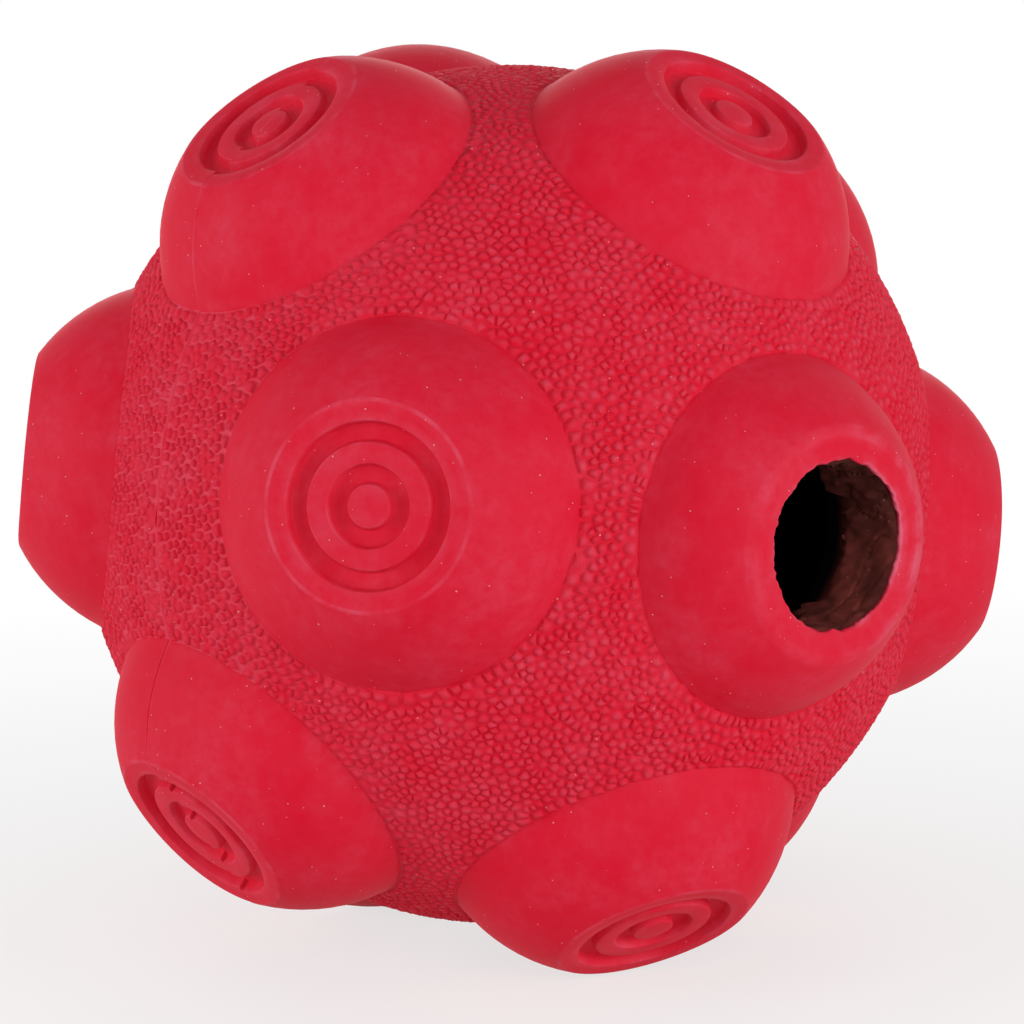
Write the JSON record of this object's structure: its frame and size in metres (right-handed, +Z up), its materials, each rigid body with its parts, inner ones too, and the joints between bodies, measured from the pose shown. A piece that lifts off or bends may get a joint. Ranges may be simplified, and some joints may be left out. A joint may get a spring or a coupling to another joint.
{
  "type": "treat dispensing ball",
  "caption": "Hollow knobbed rubber pet ball in two bonded halves, red cover over brown core; treats go in and drop out through a round mouth in one flat-topped knob.",
  "frame": {"origin": "centre of the ball, where the axes of all the knobs meet", "axes": "+Z up as the ball rests on three knobs, -Y out of the mouth, +X to the right of a viewer who faces the mouth; the seam lies in the plane y = 0"},
  "size_m": [0.0834, 0.0893, 0.0834],
  "materials": {
    "red_rubber": "satin matte with a faint pale bloom, pebble grained between the knobs",
    "brown_rubber": "dull, rough where cut",
    "seam_cement": "satin matte"
  },
  "bodies": {
    "root": {"mouth_cover": "red_rubber", "rear_cover": "red_rubber", "mouth_core": "brown_rubber", "rear_core": "brown_rubber", "seam_bond": "seam_cement"}
  },
  "joints": []
}
